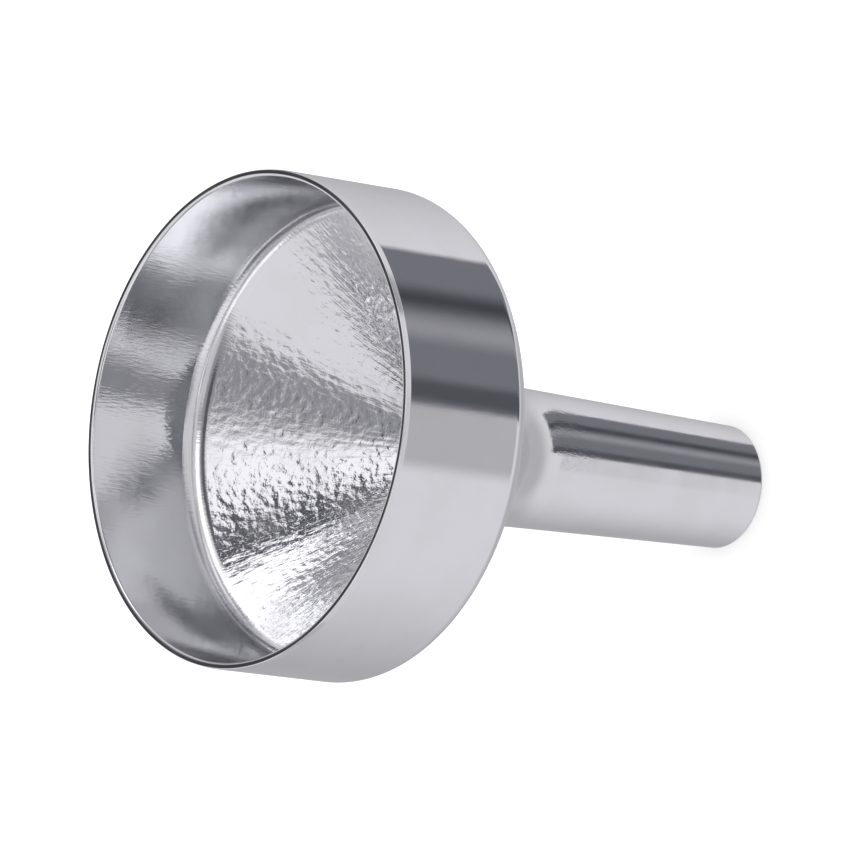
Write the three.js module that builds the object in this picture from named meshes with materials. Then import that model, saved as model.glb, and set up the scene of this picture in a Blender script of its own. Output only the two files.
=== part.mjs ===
// A small metal filling funnel: a short cylindrical collar round the mouth, a cone that narrows to a
// neck, and a tapered spout, joined by two brazed seams. Millimetres, +Z up, mouth up, with the
// origin at the centre of the spout's tip. Every piece is a body of revolution about Z.
//
// Profiles are drawn as (radius, depth) points, where depth is measured down from the rim.

import * as THREE from 'three';

// Driving dimensions
const LENGTH = 45; // rim to spout tip
const MOUTH_RADIUS = 17.5; // outside of the collar
const RIM_WALL = 0.5; // collar wall at the rim
const RIM_BEVEL_WIDTH = 0.05; // the slight bevel outside the rim
const RIM_BEVEL_DEPTH = 0.42;
const BORE_DRAFT = THREE.MathUtils.degToRad(1.8); // the collar's inside narrows towards the cone
const BAND_DEPTH = 10; // straight outer side of the collar
const BACK_CORNER_RADIUS = 1.4; // rounding from the collar's side to the back of the cone
const BACK_ANGLE = THREE.MathUtils.degToRad(50); // back of the cone, from the axis
const CONE_ANGLE = THREE.MathUtils.degToRad(46.5); // inside of the cone, from the axis
const CONE_DEPTH = 9; // where the inside of the cone would meet the collar's bore
const MOUTH_SEAM_RADIUS = 2.4;
const SPOUT_ROOT_RADIUS = 5.1; // outside, where it leaves the cone
const SPOUT_TIP_RADIUS = 4.5;
const SPOUT_WALL = 0.6;
const SPOUT_BORE_TAPER = 0.4; // how much wider the bore is at the top than at the tip, on the radius
const NECK_SEAM_RADIUS = 9;

const ROUND_SEGMENTS = 96;
const ARC_STEPS = 6;

const point = (radius, depth) => new THREE.Vector2(radius, depth);

// Points of the arc that rounds the corner between the straight lines to `before` and to `after`.
function roundCorner(before, corner, after, radius) {
  const toBefore = before.clone().sub(corner).normalize();
  const toAfter = after.clone().sub(corner).normalize();
  const halfAngle = Math.acos(toBefore.dot(toAfter)) / 2;
  const bisector = toBefore.clone().add(toAfter).normalize();
  const centre = corner.clone().addScaledVector(bisector, radius / Math.sin(halfAngle));
  const start = corner.clone().addScaledVector(toBefore, radius / Math.tan(halfAngle));
  const end = corner.clone().addScaledVector(toAfter, radius / Math.tan(halfAngle));
  const startAngle = start.clone().sub(centre).angle();
  const fullTurn = 2 * Math.PI;
  let sweep = end.clone().sub(centre).angle() - startAngle;
  if (sweep > Math.PI) sweep -= fullTurn;
  if (sweep < -Math.PI) sweep += fullTurn;
  const points = [];
  for (let step = 0; step <= ARC_STEPS; step += 1) {
    const angle = startAngle + (sweep * step) / ARC_STEPS;
    points.push(point(centre.x + radius * Math.cos(angle), centre.y + radius * Math.sin(angle)));
  }
  return points;
}

// Corners that neighbouring pieces share
const rimInner = point(MOUTH_RADIUS - RIM_WALL, 0);
const boreFoot = point(rimInner.x - CONE_DEPTH * Math.tan(BORE_DRAFT), CONE_DEPTH);
const backCornerDepth = BAND_DEPTH + BACK_CORNER_RADIUS * Math.tan(BACK_ANGLE / 2);
const backCorner = point(MOUTH_RADIUS, backCornerDepth);
const neckDepth = backCornerDepth + (MOUTH_RADIUS - SPOUT_ROOT_RADIUS) / Math.tan(BACK_ANGLE);
const neckCorner = point(SPOUT_ROOT_RADIUS, neckDepth);
const tipOuter = point(SPOUT_TIP_RADIUS, LENGTH);
const tipInner = point(SPOUT_TIP_RADIUS - SPOUT_WALL, LENGTH);

// The point of the cone's inside at a given radius
const insideAt = (radius) =>
  point(radius, CONE_DEPTH + (boreFoot.x - radius) / Math.tan(CONE_ANGLE));

const socketTop = insideAt(SPOUT_ROOT_RADIUS);
const boreTop = insideAt(tipInner.x + SPOUT_BORE_TAPER);

const backCornerArc = roundCorner(point(MOUTH_RADIUS, 0), backCorner, neckCorner, BACK_CORNER_RADIUS);
const mouthSeamArc = roundCorner(rimInner, boreFoot, boreTop, MOUTH_SEAM_RADIUS);
const neckSeamArc = roundCorner(backCorner, neckCorner, tipOuter, NECK_SEAM_RADIUS);

// A closed profile turned about Z, with its faces pointing out.
function turned(profile) {
  const heights = profile.map((p) => new THREE.Vector2(p.x, LENGTH - p.y));
  if (THREE.ShapeUtils.isClockWise(heights)) heights.reverse();
  heights.push(heights[0].clone());
  const geometry = new THREE.LatheGeometry(heights, ROUND_SEGMENTS);
  geometry.rotateX(Math.PI / 2);
  return geometry;
}

// The thin band round the mouth. Its lower lip wraps the edge of the cone.
function collarGeometry() {
  return turned([
    rimInner,
    point(MOUTH_RADIUS - RIM_BEVEL_WIDTH, 0),
    point(MOUTH_RADIUS, RIM_BEVEL_DEPTH),
    ...backCornerArc,
    boreFoot,
    mouthSeamArc[0],
  ]);
}

// The cone, whose hub is bored to take the spout.
function coneGeometry() {
  return turned([
    boreFoot,
    backCornerArc.at(-1),
    neckSeamArc[0],
    neckCorner,
    socketTop,
    mouthSeamArc.at(-1),
  ]);
}

// The tube. Its top end is pushed up through the hub and trimmed flush with the cone's inside.
function spoutGeometry() {
  return turned([socketTop, neckCorner, neckSeamArc.at(-1), tipOuter, tipInner, boreTop]);
}

// The smooth fillet ring inside, between the collar's bore and the cone.
function mouthSeamGeometry() {
  return turned([...mouthSeamArc, boreFoot]);
}

// The flared fillet ring outside, between the back of the cone and the spout.
function neckSeamGeometry() {
  return turned([...neckSeamArc, neckCorner]);
}

const finishes = {
  polished: { color: 0xcdccd2, roughness: 0.08, metalness: 1 },
  hammered: { color: 0xc6c6cc, roughness: 0.16, metalness: 1 },
  brazed: { color: 0xd6d6da, roughness: 0.12, metalness: 1 },
};

function piece(name, geometry, finish) {
  const mesh = new THREE.Mesh(geometry, new THREE.MeshStandardMaterial(finishes[finish]));
  mesh.name = name;
  return mesh;
}

const funnel = new THREE.Group();
funnel.add(piece('collar', collarGeometry(), 'polished'));
funnel.add(piece('cone', coneGeometry(), 'hammered'));
funnel.add(piece('spout', spoutGeometry(), 'polished'));
funnel.add(piece('mouth_seam', mouthSeamGeometry(), 'brazed'));
funnel.add(piece('neck_seam', neckSeamGeometry(), 'brazed'));

export default funnel;
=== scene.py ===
"""A small polished metal filling funnel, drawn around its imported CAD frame.

Lengths are in metres. The funnel stands mouth up on its spout's tip, with its axis along +Z.
Profiles are lists of (radius, height) points, turned about the axis.
"""

import math

import bpy
from mathutils import Matrix, Vector, noise


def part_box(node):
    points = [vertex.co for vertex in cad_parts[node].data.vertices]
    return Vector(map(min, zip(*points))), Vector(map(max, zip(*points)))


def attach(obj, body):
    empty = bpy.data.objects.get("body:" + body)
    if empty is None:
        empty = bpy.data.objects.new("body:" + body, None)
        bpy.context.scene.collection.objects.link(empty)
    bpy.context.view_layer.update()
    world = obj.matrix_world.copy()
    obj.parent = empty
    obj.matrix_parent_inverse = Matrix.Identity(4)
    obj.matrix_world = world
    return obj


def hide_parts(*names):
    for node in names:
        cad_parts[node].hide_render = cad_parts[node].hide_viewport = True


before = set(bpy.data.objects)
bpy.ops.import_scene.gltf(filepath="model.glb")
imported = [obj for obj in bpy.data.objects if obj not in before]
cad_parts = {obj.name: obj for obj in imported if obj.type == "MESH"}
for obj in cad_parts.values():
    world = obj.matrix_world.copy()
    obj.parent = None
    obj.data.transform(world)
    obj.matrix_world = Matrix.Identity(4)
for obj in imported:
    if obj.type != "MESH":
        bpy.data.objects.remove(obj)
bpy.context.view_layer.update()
MM = 0.001
BODY = "root"

# Sizes taken from the frame
MOUTH_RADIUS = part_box("collar")[1][0]
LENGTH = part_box("collar")[1][2]
SPOUT_ROOT_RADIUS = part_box("spout")[1][0]

# Sizes that the frame's boxes do not show
RIM_WALL = 0.5 * MM
RIM_BEVEL_WIDTH = 0.05 * MM
RIM_BEVEL_DEPTH = 0.42 * MM
RIM_OUTER_ROUND = 0.06 * MM
RIM_INNER_ROUND = 0.2 * MM
RIM_FOOT_ROUND = 8 * RIM_OUTER_ROUND
BORE_DRAFT = math.radians(1.8)
BAND_DEPTH = 10.0 * MM
BACK_CORNER_RADIUS = 1.4 * MM
BACK_ANGLE = math.radians(50)
CONE_ANGLE = math.radians(46.5)
CONE_DEPTH = 9.0 * MM
MOUTH_SEAM_RADIUS = 2.4 * MM
SPOUT_TIP_RADIUS = 4.5 * MM
SPOUT_WALL = 0.6 * MM
SPOUT_BORE_TAPER = 0.4 * MM
TIP_ROUND = 0.12 * MM
NECK_SEAM_RADIUS = 9.0 * MM

# Relief
DIMPLE_PITCH = 0.4 * MM
DIMPLE_DEPTH = 0.01 * MM
SWELL_DEPTH = 0.015 * MM
ROW_PITCH = 0.65 * MM
ROW_DEPTH = 0.003 * MM
RIPPLE_DEPTH = 0.004 * MM

CONE_END_FADE = 0.25 * MM
WAVE_DEPTH = 0.004 * MM
PRESSED_BROAD_DEPTH = 0.0045 * MM
PRESSED_FINE_DEPTH = 0.0025 * MM
BORE_END_FADE = 1.0 * MM
CONE_GRAIN_RADIUS = 12 * MM
NECK_SCUFF_DEPTH = 0.009 * MM

# Worn edges
RIM_WEAR_REACH = 0.35 * MM
TIP_WEAR_REACH = 0.4 * MM

# Mesh
SUPPORT = 0.05 * MM
RELIEF_STEP = 0.16 * MM
WAVE_STEP = 0.4 * MM
COLLAR_SEGMENTS = 384
CONE_SEGMENTS = 800
SPOUT_SEGMENTS = 256

# Metal colours
PLATING = (0.845, 0.85, 0.86)
BRAZE = (0.86, 0.86, 0.865)
STAIN = (0.95, 0.945, 0.93)


def at(radius, depth):
    """A profile point at a depth below the rim."""
    return Vector((radius, LENGTH - depth))


def arc_between(before, corner, after, radius, steps):
    """The points that round the corner between the lines to before and to after."""
    to_before = (before - corner).normalized()
    to_after = (after - corner).normalized()
    half = to_before.angle(to_after) / 2
    centre = corner + (to_before + to_after).normalized() * (radius / math.sin(half))
    start = corner + to_before * (radius / math.tan(half)) - centre
    end = corner + to_after * (radius / math.tan(half)) - centre
    sweep = end.angle_signed(start)
    return [centre + Matrix.Rotation(sweep * i / steps, 2) @ start for i in range(steps + 1)]


def dense(start, end, step):
    """A straight run of points about a step apart."""
    parts = max(1, math.ceil((end - start).length / step))
    return [start.lerp(end, i / parts) for i in range(parts + 1)]


def straight(start, end, step=1.0):
    """A straight run with a short first and last step, which keeps its shading flat to its ends."""
    short = (end - start).normalized() * SUPPORT
    return [start, *dense(start + short, end - short, step), end]


def smooth(value):
    """0 to 1 with soft ends."""
    value = min(1.0, max(0.0, value))
    return value * value * (3 - 2 * value)


# Corners that neighbouring pieces share
rim_inner = at(MOUTH_RADIUS - RIM_WALL, 0)
rim_outer = at(MOUTH_RADIUS, 0)
bevel_top = at(MOUTH_RADIUS - RIM_BEVEL_WIDTH, 0)
bevel_foot = at(MOUTH_RADIUS, RIM_BEVEL_DEPTH)
bore_foot = at(rim_inner.x - CONE_DEPTH * math.tan(BORE_DRAFT), CONE_DEPTH)
back_corner_depth = BAND_DEPTH + BACK_CORNER_RADIUS * math.tan(BACK_ANGLE / 2)
back_corner = at(MOUTH_RADIUS, back_corner_depth)
neck_depth = back_corner_depth + (MOUTH_RADIUS - SPOUT_ROOT_RADIUS) / math.tan(BACK_ANGLE)
neck_corner = at(SPOUT_ROOT_RADIUS, neck_depth)
tip_outer = Vector((SPOUT_TIP_RADIUS, 0))
tip_inner = Vector((SPOUT_TIP_RADIUS - SPOUT_WALL, 0))


def inside_at(radius):
    """The point of the cone's inside at a radius."""
    return at(radius, CONE_DEPTH + (bore_foot.x - radius) / math.tan(CONE_ANGLE))


socket_top = inside_at(SPOUT_ROOT_RADIUS)
bore_top = inside_at(tip_inner.x + SPOUT_BORE_TAPER)
back_corner_arc = arc_between(rim_outer, back_corner, neck_corner, BACK_CORNER_RADIUS, 16)
mouth_seam_arc = arc_between(rim_inner, bore_foot, bore_top, MOUTH_SEAM_RADIUS, 14)
neck_seam_arc = arc_between(back_corner, neck_corner, tip_outer, NECK_SEAM_RADIUS, 28)


def turned(name, stretches, segments, material, node):
    """A closed piece of revolution. Each stretch is an outline and its relief, or None. They follow
    each other round the section, and the edge between two of them is sharp."""
    rings, reliefs, starts = [], [], set()
    for outline, relief in stretches:
        starts.add(len(rings))
        rings += outline[:-1]
        reliefs += [relief] * (len(outline) - 1)
    count = len(rings)
    area = sum(a.cross(b) for a, b in zip(rings, rings[1:] + rings[:1]))
    outward = 1 if area > 0 else -1
    verts = []
    for i, (ring, relief) in enumerate(zip(rings, reliefs)):
        along = (rings[(i + 1) % count] - rings[i - 1]).normalized()
        normal = Vector((along.y, -along.x)) * outward
        for j in range(segments):
            angle = 2 * math.pi * j / segments
            point = ring + normal * (relief(ring, angle) if relief else 0.0)
            verts.append((point.x * math.cos(angle), point.x * math.sin(angle), point.y))
    faces = []
    for i in range(count):
        low, high = i * segments, (i + 1) % count * segments
        for j in range(segments):
            k = (j + 1) % segments
            quad = (low + j, low + k, high + k, high + j)
            faces.append(quad if outward > 0 else quad[::-1])
    mesh = bpy.data.meshes.new(name)
    mesh.from_pydata(verts, [], faces)
    mesh.shade_smooth()
    for edge in mesh.edges:
        a, b = (vertex // segments for vertex in edge.vertices)
        edge.use_edge_sharp = a == b and a in starts
    mesh.materials.append(material)
    piece = bpy.data.objects.new(name, mesh)
    bpy.context.scene.collection.objects.link(piece)
    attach(piece, BODY)
    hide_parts(node)
    return piece


# Relief: how far a point of a surface stands out, in metres

def around(angle, radius, height, across, along):
    """A place in noise space, counted in features round a circle of this radius and along the axis."""
    turns = radius / across
    return Vector((turns * math.cos(angle), turns * math.sin(angle), height / along))


def hammered(ring, angle):
    """Dimples, swells, ripples and faint rows, which die away at the cone's two ends."""
    slant = (ring - socket_top).length
    from_ends = min(slant, (ring - mouth_seam_arc[-1]).length)
    place = Vector((ring.x * math.cos(angle), ring.x * math.sin(angle), ring.y))
    from_nearest = noise.voronoi(place / DIMPLE_PITCH)[0][0]
    dimples = 0.35 - from_nearest * from_nearest
    swells = noise.noise(place / (0.42 * MM)) + 0.7 * noise.noise(place / (0.9 * MM))
    ripples = noise.noise(around(angle, CONE_GRAIN_RADIUS, ring.y, 0.35 * MM, 2 * MM))
    drift = noise.noise(place / (3 * MM))
    turns = round(2 * math.pi * CONE_GRAIN_RADIUS / ROW_PITCH)
    rows = math.sin(2 * math.pi * slant / ROW_PITCH + 2 * drift) * (0.6 + drift)
    columns = math.sin(turns * angle + 2 * drift) * (0.6 - drift)
    depth = DIMPLE_DEPTH * dimples + SWELL_DEPTH * swells + RIPPLE_DEPTH * ripples
    depth += ROW_DEPTH * (rows + columns)
    return smooth(from_ends / CONE_END_FADE) * depth


def wavy(ring, angle):
    """The faint unevenness of thin pressed metal."""
    return WAVE_DEPTH * noise.noise(around(angle, MOUTH_RADIUS, ring.y, 6 * MM, 9 * MM))


def pressed(ring, angle):
    """The bore's unevenness, which dies away at its two ends."""
    from_ends = min((ring - mouth_seam_arc[0]).length, (ring - rim_inner).length)
    broad = noise.noise(around(angle, MOUTH_RADIUS, ring.y, 4 * MM, 3 * MM))
    fine = noise.noise(around(angle, MOUTH_RADIUS, ring.y, 1.1 * MM, 1.6 * MM))
    depth = PRESSED_BROAD_DEPTH * broad + PRESSED_FINE_DEPTH * fine
    return smooth(from_ends / BORE_END_FADE) * depth


# Materials

def wiring(tree):
    """Adds nodes to a tree: a socket is linked, another value is set, and None keeps the default."""
    def add(kind, *inputs, named=None, **settings):
        node = tree.nodes.new(kind)
        for key, value in settings.items():
            setattr(node, key, value)
        pairs = [(node.inputs[i], value) for i, value in enumerate(inputs)]
        pairs += [(node.inputs[key], value) for key, value in (named or {}).items()]
        for socket, value in pairs:
            if isinstance(value, bpy.types.NodeSocket):
                tree.links.new(value, socket)
            elif value is not None:
                socket.default_value = value
        return node
    return add


def math_node(add, operation, *values):
    return add("ShaderNodeMath", *values, operation=operation).outputs[0]


def mapped(add, value, low, high, to_low, to_high):
    """A value from low..high carried over to to_low..to_high with soft ends."""
    return add("ShaderNodeMapRange", value, low, high, to_low, to_high,
               interpolation_type="SMOOTHSTEP").outputs[0]


def noise_at(add, place, detail=2.0, rough=0.5):
    """Noise from 0 to 1 whose features are one unit wide."""
    return add("ShaderNodeTexNoise", named={"Vector": place, "Scale": 1.0, "Detail": detail,
                                            "Roughness": rough}).outputs["Fac"]


class Surface:
    """The places on a turned surface that its textures are drawn in."""

    def __init__(self, add):
        self.add = add
        self.place = add("ShaderNodeTexCoord").outputs["Object"]
        x, y, z = add("ShaderNodeSeparateXYZ", self.place).outputs
        self.height = z
        flat = add("ShaderNodeCombineXYZ", x, y, 0.0).outputs[0]
        self.radius = add("ShaderNodeVectorMath", flat, operation="LENGTH").outputs["Value"]
        self.heading = add("ShaderNodeVectorMath", flat, operation="NORMALIZE").outputs[0]
        self.heading_x = add("ShaderNodeSeparateXYZ", self.heading).outputs[0]

    def streaks(self, radius, across, along, detail=2.0):
        """Noise that is long one way: features across wide round the circle, and along tall."""
        turned_place = self.add("ShaderNodeVectorMath", self.heading,
                                named={"Scale": radius / across}, operation="SCALE").outputs[0]
        rise = self.add("ShaderNodeCombineXYZ", 0.0, 0.0,
                        math_node(self.add, "MULTIPLY", self.height, 1 / along)).outputs[0]
        where = self.add("ShaderNodeVectorMath", turned_place, rise, operation="ADD").outputs[0]
        return noise_at(self.add, where, detail)

    def grains(self, size, detail=2.0):
        """Noise with features of one size in every direction."""
        where = self.add("ShaderNodeVectorMath", self.place, named={"Scale": 1 / size},
                         operation="SCALE").outputs[0]
        return noise_at(self.add, where, detail)


def metal(name, tint, dullness, relief, worn=None):
    """Bright plated metal. dullness is the lowest and highest roughness of its smudges,
    relief(surface) lists pairs of a height in metres and a pattern, and worn(surface) is 1 where
    the plating is worn."""
    material = bpy.data.materials.new(name)
    material.use_nodes = True
    tree = material.node_tree
    add = wiring(tree)
    shader = tree.nodes["Principled BSDF"]
    surface = Surface(add)
    shader.inputs["Metallic"].default_value = 1.0
    shader.inputs["Specular Tint"].default_value = (1, 1, 1, 1)

    smudges = mapped(add, surface.grains(3.5 * MM, 4), 0.35, 0.7, 0.0, 1.0)
    specks = mapped(add, surface.grains(0.35 * MM, 3), 0.62, 0.75, 0.0, 1.0)
    dull = mapped(add, smudges, 0.0, 1.0, *dullness)
    dull = math_node(add, "MULTIPLY_ADD", specks, 0.03, dull)
    stained = math_node(add, "MULTIPLY_ADD", specks, 0.25, math_node(add, "MULTIPLY", smudges, 0.5))
    if worn:
        wear = worn(surface)
        dull = math_node(add, "MULTIPLY_ADD", wear, 0.06, dull)
        stained = math_node(add, "MULTIPLY_ADD", wear, 0.6, stained)
    tree.links.new(dull, shader.inputs["Roughness"])
    colour = add("ShaderNodeMix", named={"Factor": stained}, data_type="RGBA", clamp_factor=True)
    colour.inputs["A"].default_value = (*tint, 1)
    colour.inputs["B"].default_value = (*(part * stain for part, stain in zip(tint, STAIN)), 1)
    tree.links.new(colour.outputs["Result"], shader.inputs["Base Color"])

    height = None
    for depth, pattern in relief(surface):
        layer = math_node(add, "MULTIPLY", pattern, depth)
        height = layer if height is None else math_node(add, "ADD", height, layer)
    bump = add("ShaderNodeBump", named={"Height": height, "Distance": 1.0})
    tree.links.new(bump.outputs["Normal"], shader.inputs["Normal"])
    return material


def shell_relief(surface):
    """Scuffs inside the collar, and faint turning lines and unevenness all over."""
    add = surface.add
    mid_wall = MOUTH_RADIUS - 0.5 * RIM_WALL
    inside = mapped(add, surface.radius, mid_wall, MOUTH_RADIUS - RIM_WALL, 0.0, 1.0)
    scuffs = surface.streaks(MOUTH_RADIUS, 0.16 * MM, 0.9 * MM, 2)
    return [(0.007 * MM, math_node(add, "MULTIPLY", inside, scuffs)),
            (0.0011 * MM, surface.streaks(MOUTH_RADIUS, 0.35 * MM, 1.4 * MM, 2)),
            (0.00022 * MM, surface.streaks(MOUTH_RADIUS, 0.9 * MM, 0.05 * MM, 1)),
            (0.0045 * MM, surface.grains(2.4 * MM, 1))]


def shell_wear(surface):
    """The rim and its inner edge."""
    depth = math_node(surface.add, "SUBTRACT", LENGTH, surface.height)
    return mapped(surface.add, depth, 0.0, RIM_WEAR_REACH, 1.0, 0.0)


def cone_relief(surface):
    """Fine pits all over, and the rolled sheet's grain, which shows on two opposite sides."""
    add = surface.add
    sideways = math_node(add, "ABSOLUTE", surface.heading_x)
    grain = mapped(add, sideways, 0.2, 0.85, 0.3, 1.0)
    fibres = surface.streaks(CONE_GRAIN_RADIUS, 0.15 * MM, 0.9 * MM, 2)
    return [(0.018 * MM, math_node(add, "MULTIPLY", grain, fibres)),
            (0.018 * MM, surface.grains(0.3 * MM, 2))]


def neck_scuffs(surface, inner_end, outer_end):
    """The brush marks round the brazed neck. They fade from one height to the other."""
    near = mapped(surface.add, surface.height, outer_end, inner_end, 0.0, 1.0)
    return math_node(surface.add, "MULTIPLY", near,
                     surface.streaks(SPOUT_ROOT_RADIUS, 0.14 * MM, 0.5 * MM, 2))


def tube_relief(surface):
    """Lengthwise drawing lines, brush marks by the neck and slight unevenness."""
    neck = neck_seam_arc[-1].y
    return [(0.0009 * MM, surface.streaks(SPOUT_ROOT_RADIUS, 0.25 * MM, 3 * MM, 2)),
            (NECK_SCUFF_DEPTH, neck_scuffs(surface, neck, neck - 5 * MM)),
            (0.003 * MM, surface.grains(1.6 * MM, 1))]


def tube_wear(surface):
    """The cut end of the spout."""
    return mapped(surface.add, surface.height, 0.0, TIP_WEAR_REACH, 1.0, 0.0)


def seam_relief(surface):
    """Ticks across the ring in the mouth, brush marks by the neck, and a fine grain."""
    add = surface.add
    mouth = mapped(add, surface.radius, 0.7 * MOUTH_RADIUS, 0.8 * MOUTH_RADIUS, 0.0, 1.0)
    ticks = surface.streaks(MOUTH_RADIUS, 0.14 * MM, 2.4 * MM, 2)
    neck = neck_seam_arc[-1].y
    return [(0.010 * MM, math_node(add, "MULTIPLY", mouth, ticks)),
            (NECK_SCUFF_DEPTH, neck_scuffs(surface, neck, neck + 2.5 * MM)),
            (0.003 * MM, surface.grains(0.3 * MM, 2))]


polished_shell = metal("polished_shell", PLATING, (0.03, 0.085), shell_relief, shell_wear)
hammered_cone = metal("hammered_cone", PLATING, (0.06, 0.13), cone_relief)
polished_tube = metal("polished_tube", PLATING, (0.075, 0.135), tube_relief, tube_wear)
brazed_seam = metal("brazed_seam", BRAZE, (0.06, 0.12), seam_relief)


# Pieces

def collar_band():
    inner = arc_between(bore_foot, rim_inner, rim_outer, RIM_INNER_ROUND, 10)
    outer = arc_between(rim_inner, bevel_top, bevel_foot, RIM_OUTER_ROUND, 10)
    foot = arc_between(bevel_top, bevel_foot, back_corner, RIM_FOOT_ROUND, 6)
    bore = [*straight(mouth_seam_arc[0], inner[0], WAVE_STEP)[:-1], *inner]
    side = [*straight(inner[-1], outer[0])[:-1], *outer[:-1], *straight(outer[-1], foot[0])[:-1],
            *foot[:-1], *straight(foot[-1], back_corner_arc[0], WAVE_STEP)[:-1], *back_corner_arc]
    turned("collar_band", [(bore, pressed), (side, wavy), ([back_corner_arc[-1], bore_foot], None),
                           ([bore_foot, mouth_seam_arc[0]], None)],
           COLLAR_SEGMENTS, polished_shell, "collar")


def cone_dish():
    turned("cone_dish", [(straight(socket_top, mouth_seam_arc[-1], RELIEF_STEP), hammered),
                         ([mouth_seam_arc[-1], bore_foot], None),
                         ([bore_foot, back_corner_arc[-1]], None),
                         (straight(back_corner_arc[-1], neck_seam_arc[0]), None),
                         ([neck_seam_arc[0], neck_corner], None),
                         ([neck_corner, socket_top], None)],
           CONE_SEGMENTS, hammered_cone, "cone")


def spout_tube():
    tip_out = arc_between(neck_corner, tip_outer, tip_inner, TIP_ROUND, 8)
    tip_in = arc_between(tip_outer, tip_inner, bore_top, TIP_ROUND, 8)
    tube = [*straight(neck_seam_arc[-1], tip_out[0], WAVE_STEP)[:-1], *tip_out[:-1],
            *straight(tip_out[-1], tip_in[0])[:-1], *tip_in[:-1],
            *straight(tip_in[-1], bore_top, WAVE_STEP)]
    turned("spout_tube", [(tube, None), ([bore_top, socket_top], None),
                          ([socket_top, neck_corner], None),
                          ([neck_corner, neck_seam_arc[-1]], None)],
           SPOUT_SEGMENTS, polished_tube, "spout")


def mouth_seam_ring():
    turned("mouth_seam_ring", [(mouth_seam_arc, None), ([mouth_seam_arc[-1], bore_foot], None),
                               ([bore_foot, mouth_seam_arc[0]], None)],
           COLLAR_SEGMENTS, brazed_seam, "mouth_seam")


def neck_seam_ring():
    turned("neck_seam_ring", [(neck_seam_arc, None), ([neck_seam_arc[-1], neck_corner], None),
                              ([neck_corner, neck_seam_arc[0]], None)],
           SPOUT_SEGMENTS, brazed_seam, "neck_seam")


collar_band()
cone_dish()
spout_tube()
mouth_seam_ring()
neck_seam_ring()

# Camera: a long lens, looking down into the mouth from 50 degrees off the axis, and rolled so that the
# spout points right and a little down.
VIEW_FROM_AXIS = math.radians(50.18)
VIEW_ROLL = math.radians(-8.23)
VIEW_DISTANCE = 0.5453
LENS = 332.7
AIM_RIGHT = 0.01262
AIM_UP = -0.00044
backward = Vector((0, -math.sin(VIEW_FROM_AXIS), math.cos(VIEW_FROM_AXIS)))
spoutward = Vector((0, -math.cos(VIEW_FROM_AXIS), -math.sin(VIEW_FROM_AXIS)))
sideways = Vector((1, 0, 0))
right = math.cos(VIEW_ROLL) * spoutward - math.sin(VIEW_ROLL) * sideways
up = math.sin(VIEW_ROLL) * spoutward + math.cos(VIEW_ROLL) * sideways
camera = bpy.data.objects.new("camera", bpy.data.cameras.new("camera"))
camera.data.lens = LENS
camera.data.sensor_width = 36
camera.data.clip_start = 0.01
bpy.context.scene.collection.objects.link(camera)
rim_centre = Vector((0, 0, LENGTH))
place = rim_centre + backward * VIEW_DISTANCE + right * AIM_RIGHT + up * AIM_UP
axes = Matrix((right, up, backward)).transposed().to_4x4()
camera.matrix_world = Matrix.Translation(place) @ axes
bpy.context.scene.camera = camera

# World: a studio tent with the soft boxes and dark flags that bright metal needs round it, laid out
# after the reflections in the reference photograph. Only reflections see it: the camera sees plain
# white, and the floor has an even fill. Each panel has its middle as azimuth, from -Y towards +X, and
# elevation, its half width and half height, its edges' softness, all in degrees, and its light.
PANELS = [
    # name, azimuth, elevation, half width, half height, side softness, end softness, light
    ("under the bench", 0, -90, 200, 26, 5, 10, 0.5),
    ("far bench", -160, -45, 60, 20, 50, 10, 0.45),
    ("near bench", 5, -35, 15, 8, 4, 3, 0.5),
    ("flag", 58, -44, 40, 11, 2, 2, 0.2),
    ("flag, fold", 70, -44, 5, 11, 5, 2, 0.07),
    ("flag, sheen", 55, -44, 5, 11, 5, 2, 0.33),
    ("flag, near edge", 25, -44, 5, 11, 3, 2, 0.1),
    ("dark corner", 140, 45, 40, 22, 8, 6, 0.3),
    ("back card", 180, 41, 12, 11, 4, 3, 0.05),
    ("dark front", 0, 33, 45, 27, 8, 8, 0.3),
    ("low front", -20, 21, 20, 5, 8, 3, 0.6),
    ("overhead box", 50, 60, 40, 15, 20, 6, 1.1),
    ("low box", 60, 21, 50, 7, 5, 4, 1.5),
    ("side box", 97, 33, 14, 10, 4, 4, 1.5),
    ("dark slat", 30, 41, 55, 5.5, 4, 2.5, 0.1),
    ("front box", -35, 2, 30, 12, 6, 4, 1.5),
    ("side band, right", 65, -8, 9, 20, 3, 6, 0.12),
    ("side band, left", -100, -8, 9, 20, 3, 6, 0.15),
    ("side band, back", 150, -8, 11, 20, 4, 6, 0.12),
]
BENCH_LIGHT = 0.76
ROOM_LIGHT = 0.8
FLOOR_LIGHT = 1.6
LIGHT_TINT = (0.975, 0.96, 1.015)
SHADE_TINT = (0.93, 0.945, 1.09)
GLOSSY_BOUNCES = 12


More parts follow.
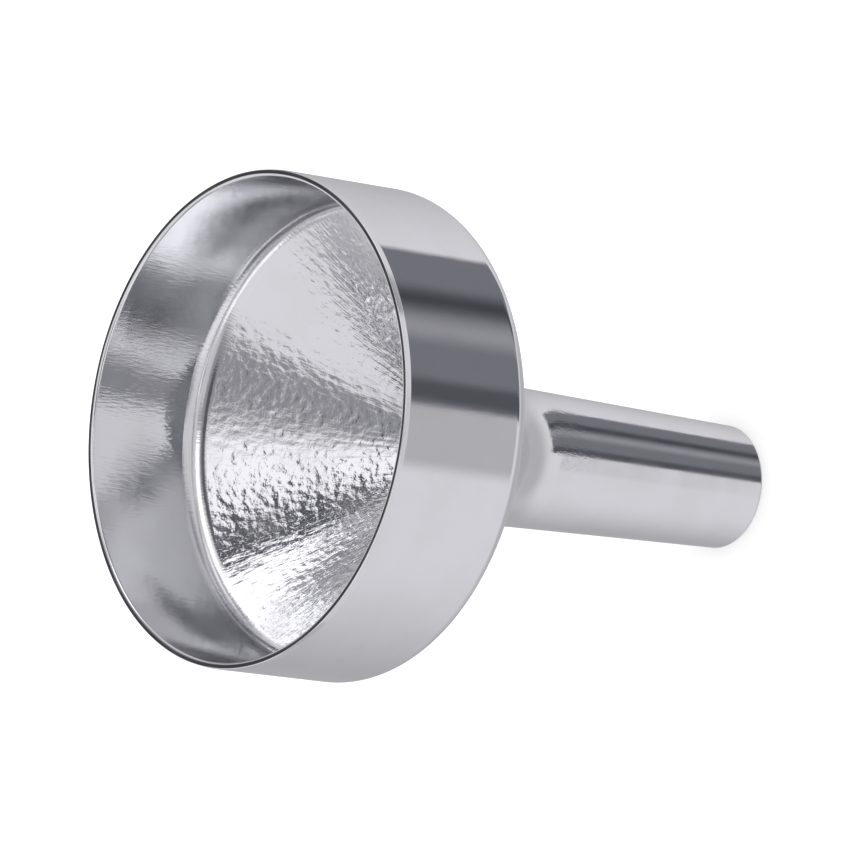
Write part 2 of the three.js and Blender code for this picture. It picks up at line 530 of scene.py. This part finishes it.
def light_world():
    world = bpy.data.worlds.new("studio")
    bpy.context.scene.world = world
    world.use_nodes = True
    tree = world.node_tree
    add = wiring(tree)
    x, y, z = add("ShaderNodeSeparateXYZ", add("ShaderNodeTexCoord").outputs["Generated"]).outputs
    azimuth = math_node(add, "ARCTAN2", x, math_node(add, "MULTIPLY", y, -1.0))
    elevation = math_node(add, "ARCSINE", z)

    def band(angle, middle, half, soft):
        """1 within half of the middle, falling to 0 over the soft edge."""
        away = math_node(add, "SUBTRACT", angle, math.radians(middle))
        size = math_node(add, "ABSOLUTE", math_node(add, "WRAP", away, math.pi, -math.pi))
        full, gone = math.radians(max(0, half - soft)), math.radians(half + soft)
        return mapped(add, size, full, gone, 1.0, 0.0)

    light = mapped(add, elevation, math.radians(-20), math.radians(10), BENCH_LIGHT, ROOM_LIGHT)
    for _, middle_az, middle_el, half_width, half_height, side_soft, end_soft, value in PANELS:
        across = band(azimuth, middle_az, half_width, side_soft)
        upright = band(elevation, middle_el, half_height, end_soft)
        mask = math_node(add, "MULTIPLY", across, upright)
        light = add("ShaderNodeMix", mask, None, light, value, data_type="FLOAT").outputs[0]

    tint = add("ShaderNodeMix", named={"Factor": mapped(add, light, 0.05, 0.5, 1.0, 0.0)},
               data_type="RGBA")
    tint.inputs["A"].default_value = (*LIGHT_TINT, 1)
    tint.inputs["B"].default_value = (*SHADE_TINT, 1)
    reflected = tree.nodes["Background"]
    tree.links.new(tint.outputs["Result"], reflected.inputs["Color"])
    tree.links.new(light, reflected.inputs["Strength"])
    path = add("ShaderNodeLightPath").outputs
    plain = add("ShaderNodeBackground", (1, 1, 1, 1), 1.0).outputs[0]
    fill = add("ShaderNodeBackground", (1, 1, 1, 1), FLOOR_LIGHT).outputs[0]
    lit = add("ShaderNodeMixShader", path["Is Camera Ray"], fill, plain).outputs[0]
    mixed = add("ShaderNodeMixShader", path["Is Glossy Ray"], lit, reflected.outputs[0]).outputs[0]
    tree.links.new(mixed, tree.nodes["World Output"].inputs["Surface"])


light_world()
bpy.context.scene.view_settings.view_transform = "Standard"
bpy.context.scene.cycles.glossy_bounces = GLOSSY_BOUNCES

# Floor
FLOOR_REACH = 2.0
FLOOR_GREY = 0.9
floor_corners = [(-FLOOR_REACH, -FLOOR_REACH, 0), (FLOOR_REACH, -FLOOR_REACH, 0),
                 (FLOOR_REACH, FLOOR_REACH, 0), (-FLOOR_REACH, FLOOR_REACH, 0)]
floor_mesh = bpy.data.meshes.new("floor")
floor_mesh.from_pydata(floor_corners, [], [(0, 1, 2, 3)])
floor_paint = bpy.data.materials.new("pale_floor")
floor_paint.use_nodes = True
floor_shader = floor_paint.node_tree.nodes["Principled BSDF"]
floor_shader.inputs["Base Color"].default_value = (FLOOR_GREY, FLOOR_GREY, FLOOR_GREY, 1)
floor_shader.inputs["Roughness"].default_value = 0.9
floor_shader.inputs["Specular IOR Level"].default_value = 0.0
floor_mesh.materials.append(floor_paint)
floor = bpy.data.objects.new("floor", floor_mesh)
bpy.context.scene.collection.objects.link(floor)
floor.visible_glossy = False
